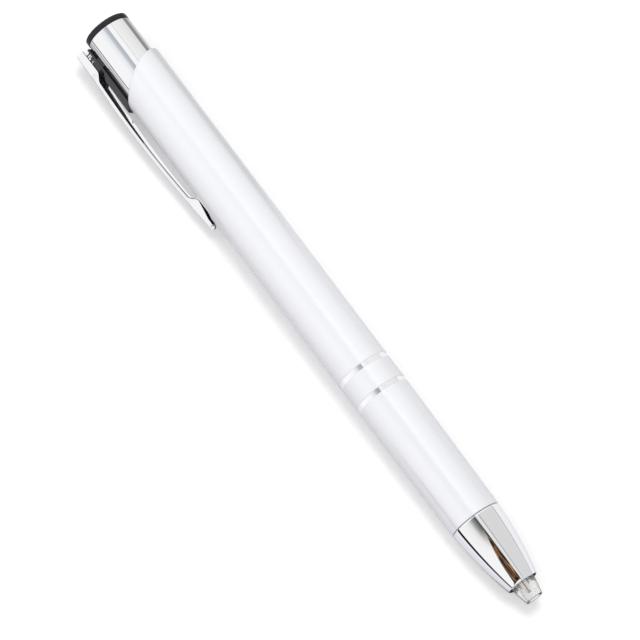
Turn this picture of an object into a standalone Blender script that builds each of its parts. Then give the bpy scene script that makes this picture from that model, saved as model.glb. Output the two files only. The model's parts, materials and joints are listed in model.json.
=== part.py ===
"""Click-action ballpoint pen with a light in its clear tip.

The pen lies on its side on the ground plane, leaning on its clip, with the
tip towards +X and the clip towards -Y.  Sizes are in metres.  A station is a
distance along the pen from the flat end of the tip.  Inside the pen's own
frame X is the axis, the clip is on the -Y side and Z runs across the clip.
"""
import math

import bmesh
import bpy
from mathutils import Vector

# Clearances
SLIDE_GAP = 0.0001
CONTACT_GAP = 0.00005
JOINT_GAP = 0.00015
BAY_GAP = 0.00008
STOP_GAP = 0.0002
END_GAP = 0.0003
COIL_GAP = 0.00003
WELD = 1e-7

# Facets
SEGMENTS = 40
INNER_SEGMENTS = 24
ARC_STEPS = 6
SECTOR_STEPS = 4
TWIST_STEPS = 6
BALL_SEGMENTS = 16
BALL_RINGS = 10
SMOOTH_ANGLE = math.radians(35.0)

# Button cells and the tube that carries them set the pen's thickness
CELL_RADIUS = 0.00395
CELL_HEIGHT = 0.0036
CELL_CAP_HEIGHT = 0.0005
CELL_CAP_RADIUS = 0.0031
CELL_COUNT = 3
CARRIER_WALL = 0.00062
BULKHEAD = 0.0015
SOCKET_DEPTH = 0.0065
SOCKET_WALL = 0.001
CAP_PLUG = 0.0032
CAP_FLANGE = 0.0014
PIVOT_RADIUS = 0.0014
PIVOT_LENGTH = 0.004
CONTACT_SHEET = 0.0003
CONTACT_RADIUS = 0.003
RIVET_RADIUS = 0.0009
WIPER_WIDTH = 0.0016
WIPER_LENGTH = 0.0045

# Barrel
BARREL_WALL = 0.00075
BARREL_LENGTH = 0.10775
FRONT_TAPER = 0.00023
GROOVE_COUNT = 2
GROOVE_WIDTH = 0.00113
GROOVE_SLOPE = 0.00017
GROOVE_DEPTH = 0.00012
GROOVE_START = 0.02908
GROOVE_PITCH = 0.0057
MOUTH_ANGLE = math.radians(31.0)
LIP_ROUND = 0.0003

# Nose and light
TIP_SHOWING = 0.0036
TIP_RADIUS = 0.00242
TIP_END_RADIUS = 0.00175
TIP_EDGE = 0.00018
TIP_TAPER = 0.0023
TIP_BULGE = 0.00008
TIP_WALL = 0.00045
NOSE_LENGTH = 0.0147
NOSE_BULGE = 0.00037
NOSE_LIP = 0.00066
NOSE_STEP = 0.00006
NOSE_RIM_EDGE = 0.00012
LIP_LENGTH = 0.0014
SEAT_LENGTH = 0.002
FLANGE_LENGTH = 0.002
SPIGOT_LENGTH = 0.0057
BOARD_THICKNESS = 0.0008
LED_LENGTH = 0.0016
LED_WIDTH = 0.0008
LED_HEIGHT = 0.0006
LED_GAP = 0.00015

# Refill
STROKE = 0.005
BALL_RADIUS = 0.0005
BALL_GAP = 0.00004
BALL_RECESS = 0.0015
SOCKET_LIP = 0.00044
POINT_RADIUS = 0.00112
POINT_CONE = 0.0042
POINT_RIM = 0.00012
INK_CHANNEL = 0.0002
TAIL_LENGTH = 0.004
TUBE_RADIUS = 0.0015
TUBE_WALL = 0.00028
TUBE_LENGTH = 0.058
TUBE_CLEARANCE = 0.0005
BEAD_HEIGHT = 0.00075
BEAD_WIDTH = 0.001
SPRING_LENGTH = 0.022
SPRING_WIRE = 0.0002
SPRING_GAP = 0.0003
SPRING_TURNS = 9
SPRING_STEPS = 12
WIRE_SIDES = 6

# Click mechanism
ROTOR_STEP = math.radians(45.0)
ROTOR_LENGTH = 0.009
ROTOR_RADIUS = 0.003
LUG_COUNT = 4
LUG_WIDTH = math.radians(24.0)
LUG_LENGTH = 0.0025
LUG_OFFSET = 0.004
LUG_HEIGHT = 0.0007
TOOTH_LENGTH = 0.004
TOOTH_WIDTH = math.radians(38.0)
TOOTH_LEAD = math.radians(2.0)
TOOTH_GAP = 0.00015
CAM_MARGIN = 0.001
COLLAR_HEIGHT = 0.0006
COLLAR_LENGTH = 0.001
STOP_LENGTH = 0.001

# Plunger
PLUNGER_SHOWING = 0.01163
SLEEVE_WALL = 0.0005
SLOT_SIDE = 0.00095
DISC_THICKNESS = 0.00117
DISC_OVERHANG = 0.00005
DISC_EDGE = 0.00015
PEG_RADIUS = 0.0015
PEG_LENGTH = 0.004
CORE_WALL = 0.0012
KEEL_WIDTH = 0.0034
KEEL_STEM = 0.0016
KEEL_LEDGE = 0.0001
KEEL_BED = 0.0005
KEEL_STAND = 0.0005
KEEL_TOP = 0.0068
KEEL_SLANT = 0.0016
KEEL_HOOK = 0.0007
KEY_DEPTH = 0.0006

# Clip
CLIP_DROP = 0.001
CLIP_LENGTH = 0.0437
CLIP_PLATE = 0.0004
CLIP_HEAD_LENGTH = 0.00485
CLIP_HEAD_WIDTH = 0.004
CLIP_END_WIDTH = 0.0015
CLIP_END_SHARE = 0.25
CLIP_TAPER_POWER = 1.5
CLIP_HEAD_GAP = 0.00027
CLIP_HEAD_RISE = 0.00225
CLIP_BOW_RISE = 0.00295
CLIP_BOW_AT = 0.0215
CLIP_SHOULDER = 0.00205
CLIP_WALL_DEPTH = 0.00105
CLIP_EDGE = 0.00025
CLIP_TOE = 0.00615
CLIP_FOOT_LENGTH = 0.00205
CLIP_FOOT_GAP = 0.0002
CLIP_PADDLE_RISE = 0.0007
CLIP_PADDLE_DROP = 0.0004
CLIP_PADDLE_LENGTH = 0.004
CLIP_BALL = 0.0006
CLIP_TAB_PITCH = 0.00113
CLIP_TAB_COUNT = 3
CLIP_STEPS = 9
SHOULDER_STEPS = 3
END_STEPS = 4

# Radii worked out from the cells outwards
BAY_RADIUS = CELL_RADIUS + BAY_GAP
CARRIER_RADIUS = BAY_RADIUS + CARRIER_WALL
BORE_RADIUS = CARRIER_RADIUS + SLIDE_GAP
BARREL_RADIUS = BORE_RADIUS + BARREL_WALL
FRONT_RADIUS = BARREL_RADIUS - FRONT_TAPER
NOSE_RADIUS = FRONT_RADIUS - NOSE_STEP
SLEEVE_RADIUS = BORE_RADIUS - SLIDE_GAP
CORE_RADIUS = SLEEVE_RADIUS - SLEEVE_WALL - SLIDE_GAP
DISC_RADIUS = SLEEVE_RADIUS + DISC_OVERHANG
TIP_HOLE = TIP_RADIUS + SLIDE_GAP
RIM_RADIUS = TIP_HOLE + NOSE_LIP
TIP_BORE = POINT_RADIUS + SLIDE_GAP
POCKET_INNER = TIP_BORE + TIP_WALL
LED_INNER = POCKET_INNER + LED_GAP
POCKET_OUTER = math.hypot(LED_INNER + LED_WIDTH, LED_LENGTH / 2) + LED_GAP
FLANGE_RADIUS = POCKET_OUTER + TIP_WALL
NOSE_BORE = FLANGE_RADIUS + SLIDE_GAP
TUBE_BORE = TUBE_RADIUS - TUBE_WALL
SPRING_RADIUS = TUBE_RADIUS + SPRING_GAP + SPRING_WIRE
LUG_RADIUS = ROTOR_RADIUS + LUG_HEIGHT
CAM_RADIUS = BORE_RADIUS - SLIDE_GAP
CAM_BORE = LUG_RADIUS + TOOTH_GAP
TOOTH_RADIUS = ROTOR_RADIUS + TOOTH_GAP
KEEL_RADIUS = BARREL_RADIUS + KEEL_STAND
HEAD_RADIUS = BARREL_RADIUS + CLIP_HEAD_RISE

# Stations from the tip's end to the plunger's end
NOSE_RIM = TIP_SHOWING
NOSE_REAR = NOSE_RIM + NOSE_LENGTH
BARREL_FRONT = NOSE_REAR + JOINT_GAP
MOUTH = BARREL_FRONT + BARREL_LENGTH
DISC_FRONT = MOUTH + PLUNGER_SHOWING
LENGTH = DISC_FRONT + DISC_THICKNESS
SEAT_FRONT = NOSE_RIM + LIP_LENGTH
SEAT_REAR = SEAT_FRONT + SEAT_LENGTH
TIP_REAR = SEAT_REAR + FLANGE_LENGTH
BOARD_FRONT = TIP_REAR + CONTACT_GAP
BOARD_REAR = BOARD_FRONT + BOARD_THICKNESS
SPRING_FRONT = BOARD_REAR + CONTACT_GAP
SPRING_REAR = SPRING_FRONT + SPRING_LENGTH
BALL_STATION = BALL_RECESS + BALL_RADIUS
TUBE_FRONT = BOARD_REAR + STROKE + TUBE_CLEARANCE
TUBE_REAR = TUBE_FRONT + TUBE_LENGTH
SOCKET_END = TUBE_REAR + CONTACT_GAP
BAY_FRONT = SOCKET_END + BULKHEAD
CELLS_FRONT = BAY_FRONT + CONTACT_SHEET + 2 * CONTACT_GAP
CELL_STEP = CELL_HEIGHT + CONTACT_GAP
SHEET_FRONT = CELLS_FRONT + CELL_COUNT * CELL_STEP
PLUG_FRONT = SHEET_FRONT + CONTACT_SHEET + CONTACT_GAP
CARRIER_REAR = PLUG_FRONT + CAP_PLUG
FLANGE_FRONT = CARRIER_REAR + CONTACT_GAP
FLANGE_REAR = FLANGE_FRONT + CAP_FLANGE
ROTOR_FRONT = FLANGE_REAR + CONTACT_GAP
ROTOR_REAR = ROTOR_FRONT + ROTOR_LENGTH
LUG_FRONT = ROTOR_FRONT + LUG_OFFSET
LUG_REAR = LUG_FRONT + LUG_LENGTH
TOOTH_FRONT = LUG_REAR - TOOTH_LENGTH
CAM_FRONT = TOOTH_FRONT - CAM_MARGIN
PUSHER_FRONT = ROTOR_REAR + CONTACT_GAP
COLLAR_FRONT = max(PUSHER_FRONT, TOOTH_FRONT + TOOTH_LENGTH + STROKE) + STOP_GAP
COLLAR_REAR = COLLAR_FRONT + COLLAR_LENGTH
STOP_FRONT = COLLAR_REAR + CONTACT_GAP
CAM_REAR = STOP_FRONT + STOP_LENGTH
SLEEVE_FRONT = CAM_REAR + STROKE + END_GAP
CLIP_TOP = LENGTH - CLIP_DROP
CLIP_HEAD_END = CLIP_TOP - CLIP_HEAD_LENGTH
CLIP_NECK = CLIP_HEAD_END - CLIP_SHOULDER
CLIP_BOW = CLIP_TOP - CLIP_BOW_AT
CLIP_END = CLIP_TOP - CLIP_LENGTH
CLIP_FOOT = CLIP_END + CLIP_TOE
KEEL_REAR = LENGTH - KEEL_TOP
LOW_RIM = MOUTH - BARREL_RADIUS * math.tan(MOUTH_ANGLE)
KEEL_FRONT = LOW_RIM - KEY_DEPTH


def along(station):
    return LENGTH / 2 - station


def finish_material(name, colour, roughness, metallic, alpha=1.0):
    finish = bpy.data.materials.new(name)
    finish.use_nodes = True
    shader = finish.node_tree.nodes["Principled BSDF"]
    shader.inputs["Base Color"].default_value = (*colour, 1.0)
    shader.inputs["Roughness"].default_value = roughness
    shader.inputs["Metallic"].default_value = metallic
    shader.inputs["Alpha"].default_value = alpha
    return finish


def make_finishes():
    return {
        "lacquer": finish_material("white_lacquer", (0.86, 0.86, 0.89), 0.3, 0.1),
        "chrome": finish_material("chrome", (0.85, 0.85, 0.86), 0.06, 1.0),
        "black": finish_material("black_plastic", (0.03, 0.03, 0.032), 0.4, 0.0),
        "clear": finish_material("clear_plastic", (0.9, 0.9, 0.88), 0.05, 0.0, 0.35),
        "board": finish_material("circuit_board", (0.05, 0.28, 0.12), 0.5, 0.0),
        "led": finish_material("led_resin", (0.9, 0.85, 0.4), 0.3, 0.0),
        "steel": finish_material("spring_steel", (0.6, 0.6, 0.62), 0.25, 1.0),
        "brass": finish_material("brass", (0.75, 0.56, 0.24), 0.25, 1.0),
        "carbide": finish_material("carbide", (0.3, 0.3, 0.32), 0.15, 1.0),
        "ivory": finish_material("natural_plastic", (0.75, 0.74, 0.7), 0.5, 0.0),
        "cell": finish_material("cell_case", (0.7, 0.7, 0.71), 0.22, 1.0),
    }


def face_outwards(bm):
    bmesh.ops.recalc_face_normals(bm, faces=bm.faces)
    if bm.calc_volume(signed=True) < 0:
        bmesh.ops.reverse_faces(bm, faces=bm.faces)


class Pen:
    """Holds the frame that every piece is parented to, and the finishes."""

    def __init__(self):
        self.finishes = make_finishes()
        self.frame = bpy.data.objects.new("pen_frame", None)
        lean = resting_lean()
        self.frame.location = (0.0, (clip_reach(lean) - BARREL_RADIUS) / 2, BARREL_RADIUS)
        self.frame.rotation_euler = (lean, 0.0, 0.0)
        bpy.context.collection.objects.link(self.frame)

    def add(self, name, bm, finish, origin=(0.0, 0.0, 0.0)):
        bmesh.ops.translate(bm, verts=bm.verts, vec=-Vector(origin))
        face_outwards(bm)
        mesh = bpy.data.meshes.new(name)
        bm.to_mesh(mesh)
        bm.free()
        mesh.materials.append(self.finishes[finish])
        mesh.shade_smooth()
        mesh.set_sharp_from_angle(angle=SMOOTH_ANGLE)
        piece = bpy.data.objects.new(name, mesh)
        piece.location = origin
        piece.parent = self.frame
        bpy.context.collection.objects.link(piece)
        return piece

    def shape(self, piece, name, bm, operation):
        """Adds to, or takes from, a piece with a guide shape."""
        guide = self.add(f"{name}_guide", bm, "black")
        guide.hide_render = True
        guide.display_type = "WIRE"
        step = piece.modifiers.new(name, "BOOLEAN")
        step.operation = operation
        step.object = guide


def turned(profile, segments=SEGMENTS):
    """A closed profile of (station, radius) points, turned about the axis."""
    bm = bmesh.new()
    verts = [bm.verts.new((along(station), 0.0, radius)) for station, radius in profile]
    edges = []
    for first, second in zip(verts, verts[1:] + verts[:1]):
        if first.co.z > 0.0 or second.co.z > 0.0:
            edges.append(bm.edges.new((first, second)))
    bmesh.ops.spin(bm, geom=verts + edges, cent=(0, 0, 0), axis=(1, 0, 0),
                   angle=2 * math.pi, steps=segments, use_merge=True)
    bmesh.ops.remove_doubles(bm, verts=bm.verts, dist=WELD)
    return bm


def loft(sections):
    """Joins rings of points that have the same count, and caps both ends."""
    bm = bmesh.new()
    rings = [[bm.verts.new(point) for point in section] for section in sections]
    for ring, following in zip(rings, rings[1:]):
        for i in range(len(ring)):
            j = (i + 1) % len(ring)
            bm.faces.new((ring[i], ring[j], following[j], following[i]))
    bm.faces.new(rings[0])
    bm.faces.new(rings[-1])
    return bm


def plate(outline, width):
    """An outline of (station, distance towards the clip), with a width across it."""
    return loft([[(along(station), -out, side) for station, out in outline]
                 for side in (-width / 2, width / 2)])


def block(front, rear, low, high, width):
    return plate([(front, low), (rear, low), (rear, high), (front, high)], width)


def bowed(start, end, bulge):
    """Points from start to end that stand out by bulge halfway."""
    points = []
    for i in range(ARC_STEPS + 1):
        u = i / ARC_STEPS
        station = start[0] + (end[0] - start[0]) * u
        radius = start[1] + (end[1] - start[1]) * u + 4 * bulge * u * (1 - u)
        points.append((station, radius))
    return points


def sector(inner, outer, middle, width):
    """A piece of a ring, as (y, z) points."""
    angles = [middle + width * (i / SECTOR_STEPS - 0.5) for i in range(SECTOR_STEPS + 1)]
    ring = [(outer, angle) for angle in angles]
    ring += [(inner, angle) for angle in reversed(angles)]
    return [(radius * math.cos(angle), radius * math.sin(angle)) for radius, angle in ring]


def merged(parts):
    """One bmesh that holds several separate shapes."""
    whole = bmesh.new()
    for part in parts:
        mesh = bpy.data.meshes.new("merge")
        face_outwards(part)
        part.to_mesh(mesh)
        part.free()
        whole.from_mesh(mesh)
        bpy.data.meshes.remove(mesh)
    return whole


def barrel_outline():
    """The outside of the barrel, from the nose joint to past the mouth."""
    points = [(BARREL_FRONT, FRONT_RADIUS)]
    for groove in range(GROOVE_COUNT):
        start = BARREL_FRONT + GROOVE_START + groove * GROOVE_PITCH
        end = start + GROOVE_WIDTH
        floor = BARREL_RADIUS - GROOVE_DEPTH
        points += [(start, BARREL_RADIUS), (start + GROOVE_SLOPE, floor),
                   (end - GROOVE_SLOPE, floor), (end, BARREL_RADIUS)]
    points.append((MOUTH + 2 * BARREL_RADIUS, BARREL_RADIUS))
    return points


def make_barrel(pen):
    outline = barrel_outline()
    profile = outline + [(outline[-1][0], BORE_RADIUS), (BARREL_FRONT, BORE_RADIUS)]
    bm = turned(profile)
    cut = bmesh.ops.bisect_plane(
        bm, geom=bm.verts[:] + bm.edges[:] + bm.faces[:],
        plane_co=(along(MOUTH), 0, 0),
        plane_no=(-math.cos(MOUTH_ANGLE), -math.sin(MOUTH_ANGLE), 0), clear_outer=True)
    rim = [edge for edge in cut["geom_cut"] if isinstance(edge, bmesh.types.BMEdge)]
    bmesh.ops.bridge_loops(bm, edges=rim)
    rim = [edge for edge in rim if edge.is_valid]
    bmesh.ops.recalc_face_normals(bm, faces=bm.faces)
    bmesh.ops.bevel(bm, geom=rim, offset=LIP_ROUND, offset_type="WIDTH", segments=2,
                    profile=0.5, affect="EDGES", material=-1)
    barrel = pen.add("barrel", bm, "lacquer")
    keyway = block(KEEL_FRONT - STROKE - END_GAP, MOUTH, BORE_RADIUS - BARREL_WALL,
                   BARREL_RADIUS + BARREL_WALL, KEEL_WIDTH + 2 * SLIDE_GAP)
    pen.shape(barrel, "keyway", keyway, "DIFFERENCE")


def make_nose(pen):
    profile = [(NOSE_RIM, TIP_HOLE), (NOSE_RIM, RIM_RADIUS - NOSE_RIM_EDGE)]
    profile += bowed((NOSE_RIM + NOSE_RIM_EDGE, RIM_RADIUS), (NOSE_REAR, NOSE_RADIUS), NOSE_BULGE)
    spigot = BORE_RADIUS - SLIDE_GAP
    rear = NOSE_REAR + JOINT_GAP + SPIGOT_LENGTH
    profile += [(NOSE_REAR, spigot), (rear, spigot), (rear, NOSE_BORE),
                (SEAT_REAR, NOSE_BORE), (SEAT_FRONT, TIP_HOLE)]
    pen.add("nose_cone", turned(profile), "chrome")


def make_light(pen):
    profile = [(0.0, TIP_BORE), (0.0, TIP_END_RADIUS - TIP_EDGE)]
    profile += bowed((TIP_EDGE, TIP_END_RADIUS), (TIP_TAPER, TIP_RADIUS), TIP_BULGE)
    floor = TIP_REAR - LED_HEIGHT - 2 * LED_GAP
    profile += [(SEAT_FRONT, TIP_RADIUS), (SEAT_REAR, FLANGE_RADIUS), (TIP_REAR, FLANGE_RADIUS),
                (TIP_REAR, POCKET_OUTER), (floor, POCKET_OUTER), (floor, POCKET_INNER),
                (TIP_REAR, POCKET_INNER), (TIP_REAR, TIP_BORE)]
    pen.add("light_tip", turned(profile), "clear")
    hole = TIP_BORE + SLIDE_GAP
    board = [(BOARD_FRONT, hole), (BOARD_FRONT, FLANGE_RADIUS),
             (BOARD_REAR, FLANGE_RADIUS), (BOARD_REAR, hole)]
    pen.add("led_board", turned(board, INNER_SEGMENTS), "board")
    for number, side in ((1, 1), (2, -1)):
        chip_rear = BOARD_FRONT - CONTACT_GAP
        inner, outer = sorted((side * LED_INNER, side * (LED_INNER + LED_WIDTH)))
        chip = block(chip_rear - LED_HEIGHT, chip_rear, inner, outer, LED_LENGTH)
        pen.add(f"led_chip_{number}", chip, "led")


def spring_section(turn):
    """A ring of the wire's section at a number of turns from the front end."""
    wire = 2 * SPRING_WIRE + COIL_GAP
    free = SPRING_LENGTH - 2 * SPRING_WIRE - 2 * wire
    active = min(max(turn - 1, 0.0), SPRING_TURNS - 2)
    dead = min(turn, 1.0) + max(turn - SPRING_TURNS + 1, 0.0)
    station = SPRING_FRONT + SPRING_WIRE + wire * dead + free * active / (SPRING_TURNS - 2)
    angle = 2 * math.pi * turn
    ring = []
    for side in range(WIRE_SIDES):
        around = 2 * math.pi * side / WIRE_SIDES
        radius = SPRING_RADIUS + SPRING_WIRE * math.cos(around)
        ring.append((along(station + SPRING_WIRE * math.sin(around)),
                     radius * math.cos(angle), radius * math.sin(angle)))
    return ring


def make_spring(pen):
    count = SPRING_TURNS * SPRING_STEPS
    pen.add("return_spring", loft([spring_section(i / SPRING_STEPS) for i in range(count + 1)]),
            "steel")


def make_refill(pen):
    socket = BALL_RADIUS + BALL_GAP
    start = math.asin(INK_CHANNEL / socket)
    end = math.pi - math.asin(SOCKET_LIP / socket)
    seat = [start + (end - start) * i / ARC_STEPS for i in range(ARC_STEPS + 1)]
    lip = BALL_STATION + socket * math.cos(end)
    tail = TUBE_BORE - CONTACT_GAP
    profile = [(lip, SOCKET_LIP + POINT_RIM), (BALL_STATION + POINT_CONE, POINT_RADIUS),
               (TUBE_FRONT - CONTACT_GAP, POINT_RADIUS), (TUBE_FRONT - CONTACT_GAP, tail),
               (TUBE_FRONT + TAIL_LENGTH, tail), (TUBE_FRONT + TAIL_LENGTH, INK_CHANNEL)]
    profile += [(BALL_STATION + socket * math.cos(a), socket * math.sin(a)) for a in seat]
    pen.add("refill_point", turned(profile, INNER_SEGMENTS), "brass")

    ball = bmesh.new()
    bmesh.ops.create_uvsphere(ball, u_segments=BALL_SEGMENTS, v_segments=BALL_RINGS,
                              radius=BALL_RADIUS)
    centre = (along(BALL_STATION), 0.0, 0.0)
    bmesh.ops.translate(ball, verts=ball.verts, vec=centre)
    pen.add("writing_ball", ball, "carbide", origin=centre)

    bead = SPRING_REAR + CONTACT_GAP
    tube = [(TUBE_FRONT, TUBE_BORE), (TUBE_FRONT, TUBE_RADIUS), (bead, TUBE_RADIUS)]
    tube += bowed((bead, TUBE_RADIUS + BEAD_HEIGHT / 2),
                  (bead + BEAD_WIDTH, TUBE_RADIUS + BEAD_HEIGHT / 2), BEAD_HEIGHT / 2)
    tube += [(bead + BEAD_WIDTH, TUBE_RADIUS), (TUBE_REAR, TUBE_RADIUS), (TUBE_REAR, TUBE_BORE)]
    pen.add("refill_tube", turned(tube, INNER_SEGMENTS), "brass")


def wiper_top():
    """How far out the flat wiper lies, so that its corners clear the bore."""
    reach = BORE_RADIUS * math.cos(math.pi / SEGMENTS) - CONTACT_GAP
    return math.sqrt(reach ** 2 - (WIPER_WIDTH / 2) ** 2)


def make_carrier(pen):
    socket = TUBE_RADIUS + CONTACT_GAP
    hole = RIVET_RADIUS + CONTACT_GAP
    front = SOCKET_END - SOCKET_DEPTH
    profile = [(front, socket), (front, socket + SOCKET_WALL), (SOCKET_END, socket + SOCKET_WALL),
               (SOCKET_END, CARRIER_RADIUS), (CARRIER_REAR, CARRIER_RADIUS),
               (CARRIER_REAR, BAY_RADIUS), (BAY_FRONT, BAY_RADIUS), (BAY_FRONT, hole),
               (SOCKET_END, hole), (SOCKET_END, socket)]
    carrier = pen.add("battery_carrier", turned(profile, INNER_SEGMENTS), "ivory")
    notch = block(SHEET_FRONT - WIPER_LENGTH - SLIDE_GAP, CARRIER_REAR + CARRIER_WALL,
                  BAY_RADIUS - CARRIER_WALL, CARRIER_RADIUS + CARRIER_WALL,
                  WIPER_WIDTH + 2 * SLIDE_GAP)
    pen.shape(carrier, "wiper_notch", notch, "DIFFERENCE")

    head = BAY_FRONT + CONTACT_GAP
    rivet = [(SOCKET_END, 0.0), (SOCKET_END, RIVET_RADIUS), (head, RIVET_RADIUS),
             (head, CONTACT_RADIUS), (head + CONTACT_SHEET, CONTACT_RADIUS),
             (head + CONTACT_SHEET, 0.0)]
    pen.add("positive_contact", turned(rivet, INNER_SEGMENTS), "brass")
    for number in range(CELL_COUNT):
        add_cell(pen, number)


def add_cell(pen, number):
    front = CELLS_FRONT + number * CELL_STEP
    step = front + CELL_HEIGHT - CELL_CAP_HEIGHT
    profile = [(front, 0.0), (front, CELL_RADIUS), (step, CELL_RADIUS), (step, CELL_CAP_RADIUS),
               (front + CELL_HEIGHT, CELL_CAP_RADIUS), (front + CELL_HEIGHT, 0.0)]
    pen.add(f"button_cell_{number + 1}", turned(profile, INNER_SEGMENTS), "cell")


def make_cap(pen):
    rear = SHEET_FRONT + CONTACT_SHEET
    sheet = [(SHEET_FRONT, 0.0), (SHEET_FRONT, CONTACT_RADIUS), (rear, CONTACT_RADIUS), (rear, 0.0)]
    contact = pen.add("negative_contact", turned(sheet, INNER_SEGMENTS), "brass")
    top = wiper_top()
    arm = plate([(SHEET_FRONT, CONTACT_RADIUS / 2), (rear, CONTACT_RADIUS / 2), (rear, top),
                 (SHEET_FRONT - WIPER_LENGTH, top),
                 (SHEET_FRONT - WIPER_LENGTH, top - CONTACT_SHEET),
                 (SHEET_FRONT, top - CONTACT_SHEET)], WIPER_WIDTH)
    pen.shape(contact, "wiper_arm", arm, "UNION")

    plug = BAY_RADIUS - CONTACT_GAP
    pivot = FLANGE_REAR + PIVOT_LENGTH
    profile = [(PLUG_FRONT, 0.0), (PLUG_FRONT, plug), (FLANGE_FRONT, plug),
               (FLANGE_FRONT, CARRIER_RADIUS), (FLANGE_REAR, CARRIER_RADIUS),
               (FLANGE_REAR, PIVOT_RADIUS), (pivot, PIVOT_RADIUS), (pivot, 0.0)]
    pen.add("carrier_cap", turned(profile, INNER_SEGMENTS), "ivory")


def twisted(inner, outer, middle, width, front, length, turn):
    """A ring sector that turns evenly about the axis over its length."""
    sections = []
    for i in range(TWIST_STEPS + 1):
        share = i / TWIST_STEPS
        ring = sector(inner, outer, middle + turn * share, width)
        sections.append([(along(front + length * share), y, z) for y, z in ring])
    return loft(sections)


def make_rotor(pen):
    hole = PIVOT_RADIUS + SLIDE_GAP
    depth = FLANGE_REAR + PIVOT_LENGTH + SLIDE_GAP
    profile = [(ROTOR_FRONT, hole), (ROTOR_FRONT, ROTOR_RADIUS), (ROTOR_REAR, ROTOR_RADIUS),
               (ROTOR_REAR, 0.0), (depth, 0.0), (depth, hole)]
    rotor = pen.add("cam_rotor", turned(profile, INNER_SEGMENTS), "ivory")
    root = ROTOR_RADIUS - LUG_HEIGHT
    lugs = [twisted(root, LUG_RADIUS, 2 * math.pi * i / LUG_COUNT, LUG_WIDTH,
                    LUG_FRONT, LUG_LENGTH, 0.0) for i in range(LUG_COUNT)]
    pen.shape(rotor, "lugs", merged(lugs), "UNION")


def make_cam_body(pen):
    """The teeth's sides follow the path of the rotor's lugs as they turn past."""
    stop = ROTOR_RADIUS + STOP_GAP
    profile = [(CAM_FRONT, CAM_BORE), (CAM_FRONT, CAM_RADIUS), (CAM_REAR, CAM_RADIUS),
               (CAM_REAR, stop), (STOP_FRONT, stop), (STOP_FRONT, CAM_BORE)]
    body = pen.add("cam_body", turned(profile, INNER_SEGMENTS), "ivory")
    rate = ROTOR_STEP / STROKE
    middle = rate * TOOTH_LENGTH + LUG_WIDTH / 2 + TOOTH_LEAD + TOOTH_WIDTH / 2
    root = (CAM_BORE + CAM_RADIUS) / 2
    teeth = [twisted(TOOTH_RADIUS, root, middle + 2 * math.pi * i / LUG_COUNT, TOOTH_WIDTH,
                     TOOTH_FRONT, TOOTH_LENGTH, -rate * TOOTH_LENGTH) for i in range(LUG_COUNT)]
    pen.shape(body, "teeth", merged(teeth), "UNION")


def make_core(pen):
    bore = ROTOR_RADIUS - CORE_WALL
    top = DISC_FRONT - CONTACT_GAP
    peg = PEG_RADIUS + CONTACT_GAP
    peg_floor = DISC_FRONT - PEG_LENGTH - 2 * CONTACT_GAP
    profile = [(PUSHER_FRONT, bore), (PUSHER_FRONT, ROTOR_RADIUS), (COLLAR_FRONT, ROTOR_RADIUS),
               (COLLAR_FRONT, ROTOR_RADIUS + COLLAR_HEIGHT),
               (COLLAR_REAR, ROTOR_RADIUS + COLLAR_HEIGHT), (COLLAR_REAR, ROTOR_RADIUS),
               (SLEEVE_FRONT, ROTOR_RADIUS), (SLEEVE_FRONT, CORE_RADIUS), (top, CORE_RADIUS),
               (top, peg), (peg_floor, peg), (peg_floor, 0.0), (SLEEVE_FRONT, 0.0),
               (SLEEVE_FRONT, bore)]
    core = pen.add("plunger_core", turned(profile, INNER_SEGMENTS), "black")
    pen.shape(core, "keel_stem", plate(keel_outline(CORE_RADIUS / 2), KEEL_STEM), "UNION")
    pen.shape(core, "keel", plate(keel_outline(SLEEVE_RADIUS + KEEL_LEDGE), KEEL_WIDTH), "UNION")
    root = CORE_RADIUS / 2
    seat = CLIP_TOP - CLIP_PLATE - (CLIP_TAB_COUNT - 1) * CLIP_TAB_PITCH - JOINT_GAP
    post = block(CLIP_HEAD_END, seat, root, HEAD_RADIUS - CLIP_PLATE - CONTACT_GAP,
                 CLIP_HEAD_WIDTH - 2 * CLIP_PLATE - 2 * CONTACT_GAP)
    pen.shape(core, "clip_post", post, "UNION")


def keel_outline(root):
    """The fin that keys the plunger to the barrel and backs the clip, from a radius outwards."""
    wall = BARREL_RADIUS + CONTACT_GAP
    bed = SLEEVE_RADIUS + KEEL_BED
    rear = DISC_FRONT - CONTACT_GAP
    return [(rear, root), (rear, bed), (KEEL_REAR, bed), (KEEL_REAR - KEEL_SLANT, KEEL_RADIUS),
            (LOW_RIM - KEEL_HOOK + KEEL_STAND, KEEL_RADIUS), (LOW_RIM + KEEL_STAND, wall),
            (KEEL_FRONT, wall), (KEEL_FRONT, root)]


def make_sleeve(pen):
    half_slot = KEEL_WIDTH / 2 + SLOT_SIDE
    ring = []
    for radius, steps in ((SLEEVE_RADIUS, range(SEGMENTS)),
                          (SLEEVE_RADIUS - SLEEVE_WALL, reversed(range(SEGMENTS)))):
        start = math.asin(half_slot / radius)
        for i in steps:
            angle = start + (2 * math.pi - 2 * start) * i / (SEGMENTS - 1)
            ring.append((-radius * math.cos(angle), radius * math.sin(angle)))
    rear = DISC_FRONT - CONTACT_GAP
    sections = [[(along(station), y, z) for y, z in ring] for station in (SLEEVE_FRONT, rear)]
    pen.add("plunger_sleeve", loft(sections), "chrome")


def make_disc(pen):
    profile = [(DISC_FRONT, DISC_RADIUS), (LENGTH - DISC_EDGE, DISC_RADIUS),
               (LENGTH, DISC_RADIUS - DISC_EDGE), (LENGTH, 0.0),
               (DISC_FRONT - PEG_LENGTH, 0.0), (DISC_FRONT - PEG_LENGTH, PEG_RADIUS),
               (DISC_FRONT, PEG_RADIUS)]
    pen.add("end_disc", turned(profile), "black")


def paddle_share(station):
    """How far a station is along the clip's end beyond its foot, from 0 to 1."""
    return min(max((CLIP_FOOT - station) / CLIP_PADDLE_LENGTH, 0.0), 1.0)


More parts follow.
